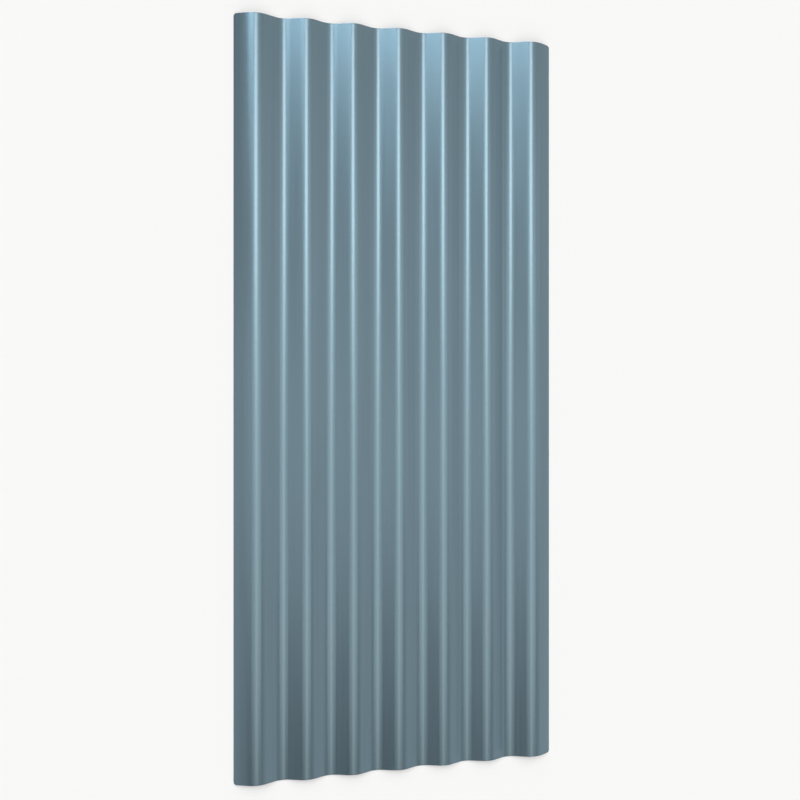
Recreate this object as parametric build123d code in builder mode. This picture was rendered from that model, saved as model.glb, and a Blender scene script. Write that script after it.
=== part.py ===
from build123d import *
import math
import os

os.makedirs("parts", exist_ok=True)

# Corrugated roof sheet, roll-formed in one piece, lying face up on its two free edges.
# +X runs across the waves, +Y along them, +Z up. The origin is in the middle of the
# sheet's footprint, on the plane that it rests on. Heights and radii are those of the
# upper (weather) face; the metal is offset below it.

length = 800.0  # along the waves
width = 360.0  # across the waves, from free edge to free edge
thickness = 0.5  # steel with its coats
pitch = 51.4  # crest to crest: seven waves
depth = 8.6  # crest to valley
bend_radius = 18.0  # crests and valleys
lap_crest_x = 156.9  # centre line of the outermost crest on each side
lap_rise = 1.65  # the outermost crests stand this much above the others
lap_radius = 20.0  # crest of a lap wave
edge_drop = 11.15  # lap crest down to the free edge
edge_radius = 82.0  # outer flank of a lap wave, which keeps turning down to the free edge
corner_radius = 3.0  # the sheet's four corners


def flank_slope(run, drop, radii):
    """Slope of the straight flank between a crest arc and a valley arc whose radii add up
    to radii, for a crest and a valley that are run apart across and drop apart in height."""
    return math.atan2(run, radii - drop) - math.acos(
        radii / math.hypot(run, radii - drop)
    )


def edge_slopes(run, drop, crest, outer):
    """Slopes where a crest arc hands over to a larger outer arc, and where that one ends,
    for an end point that is run beyond the crest's top and drop below it."""
    over, up, shift = run, crest - drop, outer - crest
    reach = (outer**2 - shift**2 - over**2 - up**2) / (2 * shift)
    first = math.atan2(over, up) - math.acos(reach / math.hypot(over, up))
    last = math.atan2(over + shift * math.sin(first), up + shift * math.cos(first))
    return first, last


outer_valley_x = 2.5 * pitch
wave_slope = flank_slope(pitch / 2, depth, 2 * bend_radius)
lap_slope = flank_slope(
    lap_crest_x - outer_valley_x, depth + lap_rise, bend_radius + lap_radius
)
turn_slope, free_slope = edge_slopes(
    width / 2 - lap_crest_x, edge_drop, lap_radius, edge_radius
)

# The sheet's underside meets the floor at the free edges.
edge_z = thickness * math.cos(free_slope)
lap_z = edge_z + edge_drop
crest_z = lap_z - lap_rise
valley_z = crest_z - depth


def over_crest(x, z, radius, slope):
    """Point of a crest arc where the sheet falls to the right at slope."""
    return (x + radius * math.sin(slope), z - radius * (1 - math.cos(slope)))


def in_valley(x, z, radius, slope):
    """Point of a valley arc where the sheet rises to the right at slope."""
    return (x + radius * math.sin(slope), z + radius * (1 - math.cos(slope)))


with BuildPart() as corrugated_sheet:
    # cross-section, drawn from the left free edge to the right one
    with BuildSketch(Plane.XZ.offset(-length / 2)):
        with BuildLine():
            left_edge = (-width / 2, edge_z)
            right_edge = (width / 2, edge_z)
            turn = over_crest(-lap_crest_x, lap_z, lap_radius, -turn_slope)
            fall = over_crest(-lap_crest_x, lap_z, lap_radius, lap_slope)
            RadiusArc(left_edge, turn, edge_radius)
            RadiusArc(turn, fall, lap_radius)
            for i in range(6):
                # down into a valley, through it and up to the next crest
                x = (i - 2.5) * pitch
                into = in_valley(
                    x, valley_z, bend_radius, -(lap_slope if i == 0 else wave_slope)
                )
                out = in_valley(
                    x, valley_z, bend_radius, lap_slope if i == 5 else wave_slope
                )
                Line(fall, into)
                RadiusArc(into, out, -bend_radius)
                if i == 5:
                    break
                rise = over_crest(x + pitch / 2, crest_z, bend_radius, -wave_slope)
                fall = over_crest(x + pitch / 2, crest_z, bend_radius, wave_slope)
                Line(out, rise)
                RadiusArc(rise, fall, bend_radius)
            rise = over_crest(lap_crest_x, lap_z, lap_radius, -lap_slope)
            turn = over_crest(lap_crest_x, lap_z, lap_radius, turn_slope)
            Line(out, rise)
            RadiusArc(rise, turn, lap_radius)
            RadiusArc(turn, right_edge, edge_radius)
            offset(amount=thickness, side=Side.RIGHT)
        make_face()
    extrude(amount=length)
    # the corners are rounded through the thickness of the sheet
    fillet(
        corrugated_sheet.edges()
        .filter_by(lambda e: abs(e.length - thickness) < 1e-4)
        .filter_by(lambda e: abs(e.center().Y) > length / 2 - 1e-3),
        corner_radius,
    )

corrugated_sheet.part.label = "corrugated_sheet"
export_step(corrugated_sheet.part, "parts/corrugated_sheet.step")

print(
    "slopes, degrees:",
    [
        round(math.degrees(a), 2)
        for a in (wave_slope, lap_slope, turn_slope, free_slope)
    ],
)
print(
    "heights, mm: edge %.3f valley %.3f crest %.3f lap %.3f"
    % (edge_z, valley_z, crest_z, lap_z)
)
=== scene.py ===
import bisect
import math

import bpy
from mathutils import Matrix, Vector


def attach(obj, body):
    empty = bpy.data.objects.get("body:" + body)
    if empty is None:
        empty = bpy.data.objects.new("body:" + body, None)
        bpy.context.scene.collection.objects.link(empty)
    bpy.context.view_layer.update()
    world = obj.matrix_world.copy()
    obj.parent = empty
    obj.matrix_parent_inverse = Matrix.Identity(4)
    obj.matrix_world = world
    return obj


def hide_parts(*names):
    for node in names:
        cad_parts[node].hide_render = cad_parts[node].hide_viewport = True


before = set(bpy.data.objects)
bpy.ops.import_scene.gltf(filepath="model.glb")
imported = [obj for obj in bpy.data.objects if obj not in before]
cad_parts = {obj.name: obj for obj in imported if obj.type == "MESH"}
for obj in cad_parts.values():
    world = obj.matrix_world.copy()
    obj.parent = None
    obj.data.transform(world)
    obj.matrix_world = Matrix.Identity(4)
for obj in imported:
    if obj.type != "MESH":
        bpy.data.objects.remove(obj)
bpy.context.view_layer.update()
scene = bpy.context.scene

# ---------------------------------------------------------------------------
# The section of the sheet, the same as in the CAD source, in metres
# ---------------------------------------------------------------------------
LENGTH = 0.800         # along the waves
WIDTH = 0.360          # free edge to free edge
THICKNESS = 0.0005
PITCH = 0.0514         # crest to crest of the regular waves
DEPTH = 0.0086         # valley to crest, on the upper face
BEND_R = 0.018         # roll radius of the regular bends, on the upper face
LAP_X = 0.1569         # crest of the outermost wave
LAP_RISE = 0.00165     # how far that crest stands above the others
LAP_R = 0.020
EDGE_DROP = 0.01115    # lap crest to free edge, on the upper face
EDGE_R = 0.082         # the slack curve that runs out to the free edge
CORNER_R = 0.003       # corners, in the plane of the sheet
BREAK_R = 0.00008      # the sheared edges, just off sharp

TURN = math.radians(2.0)   # most turn from one column of faces to the next
REACH = 0.0016             # widest column


def flank_slope(run, drop, radii):
    """Slope of the straight that touches a crest and a valley whose radii add up to radii."""
    return math.atan2(run, radii - drop) - math.acos(radii / math.hypot(run, radii - drop))


def edge_slopes(run, drop, crest, outer):
    """Slope where the crest's arc hands over to the outer arc, and at the free edge."""
    over, up, shift = run, crest - drop, outer - crest
    reach = (outer ** 2 - shift ** 2 - over ** 2 - up ** 2) / (2 * shift)
    first = math.atan2(over, up) - math.acos(reach / math.hypot(over, up))
    last = math.atan2(over + shift * math.sin(first), up + shift * math.cos(first))
    return first, last


outer_valley = 2.5 * PITCH
wave_slope = flank_slope(PITCH / 2, DEPTH, 2 * BEND_R)
lap_slope = flank_slope(LAP_X - outer_valley, DEPTH + LAP_RISE, BEND_R + LAP_R)
turn_slope, free_slope = edge_slopes(WIDTH / 2 - LAP_X, EDGE_DROP, LAP_R, EDGE_R)

lap_z = THICKNESS * math.cos(free_slope) + EDGE_DROP
crest_z = lap_z - LAP_RISE
valley_z = crest_z - DEPTH


class Section:
    """The upper face from the middle crest to the right free edge, rolled out bend by bend.
    A slope is positive where the face falls to the right."""

    def __init__(self, x, z):
        self.runs = []          # (length so far, x, z, slope, radius or None)
        self.x, self.z, self.slope, self.length = x, z, 0.0, 0.0
        self.columns = [0.0]

    def _add(self, radius, length, x, z, slope):
        n = max(1, math.ceil(length / REACH), math.ceil(abs(slope - self.slope) / TURN))
        self.runs.append((self.length, self.x, self.z, self.slope, radius))
        self.columns += [self.length + length * k / n for k in range(1, n + 1)]
        self.x, self.z, self.slope, self.length = x, z, slope, self.length + length

    def bend(self, radius, slope):
        """radius is positive over a crest, negative through a valley."""
        self._add(radius, radius * (slope - self.slope),
                  self.x + radius * (math.sin(slope) - math.sin(self.slope)),
                  self.z + radius * (math.cos(slope) - math.cos(self.slope)), slope)

    def straight(self, x, z):
        self._add(None, math.hypot(x - self.x, z - self.z), x, z, self.slope)

    def at(self, s):
        """(x, z, slope) at s metres of sheet to the right of the middle crest, or to the left if s is negative."""
        a = min(abs(s), self.length)
        s0, x, z, slope, radius = self.runs[bisect.bisect_right([r[0] for r in self.runs], a) - 1]
        if radius is None:
            x, z = x + (a - s0) * math.cos(slope), z - (a - s0) * math.sin(slope)
        else:
            turned = slope + (a - s0) / radius
            x += radius * (math.sin(turned) - math.sin(slope))
            z += radius * (math.cos(turned) - math.cos(slope))
            slope = turned
        return (x, z, slope) if s >= 0 else (-x, z, -slope)


def roll_section():
    sec = Section(0.0, crest_z)
    for k in range(3):
        valley, crest = (k + 0.5) * PITCH, (k + 1) * PITCH
        sec.bend(BEND_R, wave_slope)
        sec.straight(valley - BEND_R * math.sin(wave_slope), valley_z + BEND_R * (1 - math.cos(wave_slope)))
        sec.bend(-BEND_R, 0.0)
        if k < 2:
            sec.bend(-BEND_R, -wave_slope)
            sec.straight(crest - BEND_R * math.sin(wave_slope), crest_z - BEND_R * (1 - math.cos(wave_slope)))
            sec.bend(BEND_R, 0.0)
    sec.bend(-BEND_R, -lap_slope)
    sec.straight(LAP_X - LAP_R * math.sin(lap_slope), lap_z - LAP_R * (1 - math.cos(lap_slope)))
    sec.bend(LAP_R, turn_slope)
    sec.bend(EDGE_R, free_slope)
    return sec


section = roll_section()
HALF = section.length      # half of the sheet's flat width


def point(s, y, depth):
    """A point of the sheet: s across it when flat, y along it, depth under the upper face."""
    x, z, slope = section.at(s)
    return (x - depth * math.sin(slope), y, z - depth * math.cos(slope))


# ---------------------------------------------------------------------------
# The sheet as one closed mesh: two faces in rows and columns, and the cut edge
# ---------------------------------------------------------------------------
def columns():
    """Each column as (s, where its last row lies, the way out of the sheet there). Those in the rounded corners crowd
    towards the free edge."""
    inner, r = HALF - CORNER_R, CORNER_R - BREAK_R
    half = [(s, LENGTH / 2 - BREAK_R, (0.0, 1.0)) for s in section.columns if s < inner - 0.0004]
    for k in range(11):
        t = math.radians(9.0 * k)
        half.append((inner + r * math.sin(t), LENGTH / 2 - CORNER_R + r * math.cos(t), (math.sin(t), math.cos(t))))
    return [(-s, y, (-o[0], o[1])) for s, y, o in reversed(half[1:])] + half


def row_places():
    half = [k / 22 for k in range(22)] + [0.985, 0.996, 0.9992, 1.0]
    return [-v for v in reversed(half[1:])] + half


def cut_profile(steps=3):
    """The cut edge from the upper face to the lower one, as (way out, depth)."""
    r, out = BREAK_R, []
    for k in range(1, steps + 1):
        t = math.pi / 2 * k / steps
        out.append((r * math.sin(t), r * (1 - math.cos(t))))
    for k in range(steps):
        t = math.pi / 2 * k / steps
        out.append((r * math.cos(t), THICKNESS - r * (1 - math.sin(t))))
    return out


def make_sheet():
    cols, rows = columns(), row_places()
    nc, nr = len(cols), len(rows)
    verts, faces, kinds, flat = [], [], [], []      # flat: where each corner of each face lies when the sheet is unrolled

    def place(i, j):
        s, end, _ = cols[i]
        return s, end * rows[j]

    for depth in (0.0, THICKNESS):
        verts += [point(*place(i, j), depth) for i in range(nc) for j in range(nr)]
    under = nc * nr
    margin = 0.012
    shift = 2 * HALF + margin
    for i in range(nc - 1):
        for j in range(nr - 1):
            ring = [(i, j), (i + 1, j), (i + 1, j + 1), (i, j + 1)]
            faces.append([a * nr + b for a, b in ring])
            flat.append([place(a, b) for a, b in ring])
            faces.append([under + a * nr + b for a, b in reversed(ring)])
            flat.append([(place(a, b)[0] + shift, place(a, b)[1]) for a, b in reversed(ring)])
            kinds += [0, 0]

    # Once round the edge, counter-clockwise from above.
    loop = ([(i, 0) for i in range(nc)] + [(nc - 1, j) for j in range(1, nr)]
            + [(i, nr - 1) for i in range(nc - 2, -1, -1)] + [(0, j) for j in range(nr - 2, 0, -1)])

    def way_out(i, j):
        if j == 0 or j == nr - 1:
            o = cols[i][2]
            return (o[0], -o[1]) if j == 0 else o
        return (-1.0, 0.0) if i == 0 else (1.0, 0.0)

    profile = cut_profile()
    rings = [[i * nr + j for i, j in loop]]
    spread = [[place(i, j) for i, j in loop]]
    skirt = 0.004 / (len(profile) + 1)              # the cut edge is unrolled wider than it is
    for k, (out, depth) in enumerate(profile):
        ring, where = [], []
        for i, j in loop:
            (s, y), o = place(i, j), way_out(i, j)
            ring.append(len(verts))
            verts.append(point(s + out * o[0], y + out * o[1], depth))
            where.append((s + (k + 1) * skirt * o[0], y + (k + 1) * skirt * o[1]))
        rings.append(ring)
        spread.append(where)
    rings.append([under + i * nr + j for i, j in loop])
    spread.append([(s + (len(profile) + 1) * skirt * way_out(i, j)[0], y + (len(profile) + 1) * skirt * way_out(i, j)[1])
                   for (i, j), (s, y) in zip(loop, spread[0])])
    n = len(loop)
    for k in range(len(rings) - 1):
        for a in range(n):
            b = (a + 1) % n
            faces.append([rings[k][a], rings[k + 1][a], rings[k + 1][b], rings[k][b]])
            flat.append([spread[k][a], spread[k + 1][a], spread[k + 1][b], spread[k][b]])
            kinds.append(1)

    mesh = bpy.data.meshes.new("roof_sheet")
    mesh.from_pydata(verts, [], faces)
    mesh.polygons.foreach_set("material_index", kinds)
    mesh.polygons.foreach_set("use_smooth", [True] * len(faces))
    layer = mesh.uv_layers.new(name="OFBake")
    size = max(2 * shift, LENGTH + margin)
    layer.uv.foreach_set("vector", [c for ring in flat for s, y in ring
                                    for c in ((s + HALF + margin / 2) / size, (y + LENGTH / 2 + margin / 2) / size)])
    mesh.validate()
    mesh.update()
    sheet = bpy.data.objects.new("roof_sheet", mesh)
    scene.collection.objects.link(sheet)
    return sheet


sheet = make_sheet()
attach(sheet, "root")
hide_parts("corrugated_sheet")


# ---------------------------------------------------------------------------
# Materials
# ---------------------------------------------------------------------------
class Nodes:
    """A small helper that adds nodes to a material and links them."""

    def __init__(self, name):
        self.material = bpy.data.materials.new(name)
        self.material.use_nodes = True
        self.tree = self.material.node_tree
        self.tree.nodes.clear()
        self.out = self.tree.nodes.new("ShaderNodeOutputMaterial")
        self.shader = self.tree.nodes.new("ShaderNodeBsdfPrincipled")
        self.link(self.shader.outputs["BSDF"], self.out.inputs["Surface"])
        self.place = self.tree.nodes.new("ShaderNodeTexCoord").outputs["Object"]

    def link(self, a, b):
        self.tree.links.new(a, b)

    def noise(self, scale, stretch=(1, 1, 1), detail=2.0, rough=0.5):
        mapping = self.tree.nodes.new("ShaderNodeMapping")
        mapping.inputs["Scale"].default_value = stretch
        self.link(self.place, mapping.inputs["Vector"])
        noise = self.tree.nodes.new("ShaderNodeTexNoise")
        noise.inputs["Scale"].default_value = scale
        noise.inputs["Detail"].default_value = detail
        noise.inputs["Roughness"].default_value = rough
        self.link(mapping.outputs["Vector"], noise.inputs["Vector"])
        return noise.outputs["Fac"]

    def math(self, kind, a, b=None):
        node = self.tree.nodes.new("ShaderNodeMath")
        node.operation = kind
        for socket, value in zip(node.inputs, (a, b)):
            if isinstance(value, (int, float)):
                socket.default_value = value
            elif value is not None:
                self.link(value, socket)
        return node.outputs["Value"]

    def spread(self, value, low, high, a, b):
        """value from low..high to a..b, held at the ends."""
        node = self.tree.nodes.new("ShaderNodeMapRange")
        node.interpolation_type = "SMOOTHSTEP"
        for name, v in (("From Min", low), ("From Max", high), ("To Min", a), ("To Max", b)):
            node.inputs[name].default_value = v
        self.link(value, node.inputs["Value"])
        return node.outputs["Result"]

    def ramp(self, value, stops):
        node = self.tree.nodes.new("ShaderNodeValToRGB")
        ramp = node.color_ramp
        while len(ramp.elements) < len(stops):
            ramp.elements.new(0.5)
        for element, (at, colour) in zip(ramp.elements, stops):
            element.position = at
            element.color = (*colour, 1)
        self.link(value, node.inputs["Fac"])
        return node.outputs["Color"]

    def bump(self, height, distance, strength, normal=None):
        node = self.tree.nodes.new("ShaderNodeBump")
        node.inputs["Distance"].default_value = distance
        node.inputs["Strength"].default_value = strength
        self.link(height, node.inputs["Height"])
        if normal is not None:
            self.link(normal, node.inputs["Normal"])
        return node.outputs["Normal"]


def coat_material():
    """Blue-grey metallic coat. It was rolled and stoved as flat strip, so its grain runs along the waves."""
    m = Nodes("blue_grey_coat")
    fine = m.noise(620, (1, 0.010, 1), 2.0, 0.5)        # grain about 1.5 mm wide and 150 mm long
    broad = m.noise(150, (1, 0.018, 1), 2.0, 0.5)       # bands of 7 mm from the rolls
    cloud = m.noise(14, (1, 0.45, 1), 2.0, 0.5)         # how the coat pooled as it cured
    tone = m.math("ADD", m.math("MULTIPLY", fine, 0.35), m.math("ADD", m.math("MULTIPLY", broad, 0.35), m.math("MULTIPLY", cloud, 0.30)))
    m.link(m.ramp(tone, [(0.38, BASE_DARK), (0.50, BASE_MID), (0.62, BASE_LIGHT)]), m.shader.inputs["Base Color"])
    m.link(m.spread(m.math("ADD", m.math("MULTIPLY", fine, 0.5), m.math("MULTIPLY", cloud, 0.5)), 0.35, 0.65, ROUGH - 0.012, ROUGH + 0.012),
           m.shader.inputs["Roughness"])
    m.shader.inputs["Metallic"].default_value = METALLIC
    peel = m.noise(1300, (1, 0.8, 1), 2.0, 0.5)         # orange peel of a stoved coat, under 1 mm
    first = m.bump(peel, 0.000003, 0.25)
    m.link(m.bump(fine, 0.000003, 0.25, first), m.shader.inputs["Normal"])
    return m.material


def cut_material():
    """Bare galvanised steel where the shear cut the coated strip."""
    m = Nodes("cut_edge_steel")
    grain = m.noise(2600, (1, 1, 0.3), 2.0, 0.6)
    m.link(m.ramp(grain, [(0.35, (0.30, 0.32, 0.33)), (0.65, (0.46, 0.48, 0.49))]), m.shader.inputs["Base Color"])
    m.link(m.spread(grain, 0.3, 0.7, 0.38, 0.52), m.shader.inputs["Roughness"])
    m.shader.inputs["Metallic"].default_value = 1.0
    m.link(m.bump(grain, 0.00001, 0.5), m.shader.inputs["Normal"])
    return m.material


BASE_MID = (0.342, 0.495, 0.583)
BASE_DARK = tuple(0.965 * c for c in BASE_MID)
BASE_LIGHT = tuple(1.035 * c for c in BASE_MID)
ROUGH = 0.25
METALLIC = 0.962
sheet.data.materials.append(coat_material())
sheet.data.materials.append(cut_material())

# ---------------------------------------------------------------------------
# Floor, light and camera
# ---------------------------------------------------------------------------

def make_floor():
    """A white table. The metal doesn't mirror it, apart from the part that the sheet covers, which is in the dark."""
    def level(name, half_x, half_y, z):
        mesh = bpy.data.meshes.new(name)
        mesh.from_pydata([(-half_x, -half_y, z), (half_x, -half_y, z), (half_x, half_y, z), (-half_x, half_y, z)],
                         [], [(0, 1, 2, 3)])
        m = Nodes("pale_" + name)
        m.shader.inputs["Base Color"].default_value = (0.90, 0.90, 0.90, 1)
        m.shader.inputs["Roughness"].default_value = 0.9
        m.shader.inputs["Specular IOR Level"].default_value = 0.0
        mesh.materials.append(m.material)
        plane = bpy.data.objects.new(name, mesh)
        scene.collection.objects.link(plane)
        return plane

    level("floor", 8.0, 8.0, 0.0).visible_glossy = False
    level("covered_floor", WIDTH / 2 - 0.002, LENGTH / 2 - 0.002, -0.0002).visible_camera = False


make_floor()

# A direction is given in degrees: first turned from straight up towards +X, then raised towards +Y.
DISTANCE = 30.0      # far enough off to light every wave alike
PLAIN = (1.0, 1.0, 1.0)
BOXES = [
    # name, turned from, to, raised from, to, brightness, tint
    ("key_strip", -8.2, 8.7, 6.5, 21.6, 1.490, (1.02, 1.00, 1.01)),
    ("key_strip_foot", -3.9, 12.2, -23.4, 9.2, 0.246, (1.12, 1.00, 0.91)),
    ("upper_box", -22.0, 30.4, -10.0, 14.4, 0.239, (0.88, 1.00, 0.98)),
    ("lower_box", -26.2, 32.0, -18.8, -9.6, 0.473, (1.03, 1.00, 0.96)),
    ("top_box", -44.5, -12.7, 19.8, 35.6, 2.299, (0.83, 1.00, 1.10)),
    ("top_box_right", -11.9, 32.9, 20.5, 48.6, 0.175, PLAIN),
    ("left_fill", -46.1, -25.9, -12.9, 2.6, 0.141, (0.95, 1.00, 1.07)),
    ("right_fill", 1.0, 70.4, -6.7, 18.9, 0.057, (0.96, 1.00, 0.96)),
    ("back_box", -36.0, -12.0, -62.0, -41.0, 0.55, PLAIN),
    ("back_strip", 5.0, 23.0, -62.0, -41.0, 0.98, PLAIN),
    ("back_side_box", 56.0, 78.0, -60.0, -41.0, 0.70, PLAIN),
]
ROOM = 0.415        # brightness of the room's pale walls
FLAGS = [
    # black cloths hung in the room: turned, raised, half-width each way, how much light they take
    (-4.5, -22.0, 43.5, 13.1, 1.00),
    (-48.2, 24.1, 89.7, 14.4, 0.48),
]
CEILING = 1.75      # light from above, for the table and for what the coat scatters
BACKDROP = 0.955    # what the camera sees past the table


def soft_box(name, a0, a1, e0, e1, brightness, tint):
    a, e = math.radians((a0 + a1) / 2), math.radians((e0 + e1) / 2)
    away = Vector((math.sin(a) * math.cos(e), math.sin(e), math.cos(a) * math.cos(e)))
    across = Vector((math.cos(a), 0, -math.sin(a)))
    along = away.cross(across)
    light = bpy.data.lights.new(name, "AREA")
    light.shape = "RECTANGLE"
    light.size = 2 * DISTANCE * math.tan(math.radians(a1 - a0) / 2) * math.cos(e)
    light.size_y = 2 * DISTANCE * math.tan(math.radians(e1 - e0) / 2)
    light.energy = math.pi * brightness * light.size * light.size_y
    light.color = tint
    box = bpy.data.objects.new(name, light)
    box.matrix_world = Matrix.Translation(away * DISTANCE) @ Matrix((across, along, away)).transposed().to_4x4()
    box.visible_camera = False
    scene.collection.objects.link(box)
    return box


for row in BOXES:
    soft_box(*row)


def ceiling():
    """Wide, even light from straight above, behind a diffuser that the metal doesn't mirror."""
    light = bpy.data.lights.new("ceiling", "SUN")
    light.energy = CEILING
    light.angle = math.radians(100)
    light.color = (1.0, 0.968, 0.950)
    lamp = bpy.data.objects.new("ceiling", light)
    lamp.rotation_euler = (math.radians(-7), math.radians(-5), 0)
    lamp.visible_glossy = False
    scene.collection.objects.link(lamp)
    return lamp


ceiling()


def make_room():
    """The room round the table: even pale walls, dimmed where the black cloths hang. The camera sees a plain backdrop."""
    world = bpy.data.worlds.new("studio")
    world.use_nodes = True
    tree = world.node_tree
    tree.nodes.clear()

    def math_node(kind, a, b=None):
        node = tree.nodes.new("ShaderNodeMath")
        node.operation = kind
        for socket, value in zip(node.inputs, (a, b)):
            if isinstance(value, (int, float)):
                socket.default_value = value
            elif value is not None:
                tree.links.new(value, socket)
        return node.outputs["Value"]

    def background(colour, strength):
        node = tree.nodes.new("ShaderNodeBackground")
        node.inputs["Color"].default_value = (*colour, 1)
        if isinstance(strength, (int, float)):
            node.inputs["Strength"].default_value = strength
        else:
            tree.links.new(strength, node.inputs["Strength"])
        return node.outputs["Background"]

    split = tree.nodes.new("ShaderNodeSeparateXYZ")
    tree.links.new(tree.nodes.new("ShaderNodeTexCoord").outputs["Generated"], split.inputs["Vector"])
    turned = math_node("ARCTAN2", split.outputs["X"], split.outputs["Z"])
    raised = math_node("ARCSINE", split.outputs["Y"])
    left = ROOM
    for a, e, wide, high, taken in FLAGS:
        u = math_node("DIVIDE", math_node("SUBTRACT", turned, math.radians(a)), math.radians(wide))
        v = math_node("DIVIDE", math_node("SUBTRACT", raised, math.radians(e)), math.radians(high))
        r2 = math_node("ADD", math_node("MULTIPLY", u, u), math_node("MULTIPLY", v, v))
        cover = math_node("EXPONENT", math_node("MULTIPLY", math_node("POWER", r2, 1.5), -0.5))
        left = math_node("MULTIPLY", math_node("SUBTRACT", 1.0, math_node("MULTIPLY", cover, taken)), left)
    mix = tree.nodes.new("ShaderNodeMixShader")
    tree.links.new(tree.nodes.new("ShaderNodeLightPath").outputs["Is Camera Ray"], mix.inputs["Fac"])
    tree.links.new(background((1, 1, 1), left), mix.inputs[1])
    tree.links.new(background((1, 1, 1), BACKDROP), mix.inputs[2])
    tree.links.new(mix.outputs["Shader"], tree.nodes.new("ShaderNodeOutputWorld").inputs["Surface"])
    scene.world = world


make_room()
scene.view_settings.view_transform = "Standard"

VIEW_TURN = math.radians(18.384)      # the camera's swing to the left of straight down
camera_data = bpy.data.cameras.new("camera")
camera_data.sensor_width = 36.0
camera_data.lens = 52.353
camera_data.clip_end = 50.0
camera = bpy.data.objects.new("camera", camera_data)
camera.location = (-0.39667, -0.00092, 1.19971)
camera.rotation_euler = (0.0, -VIEW_TURN, 0.0)
scene.collection.objects.link(camera)
scene.camera = camera
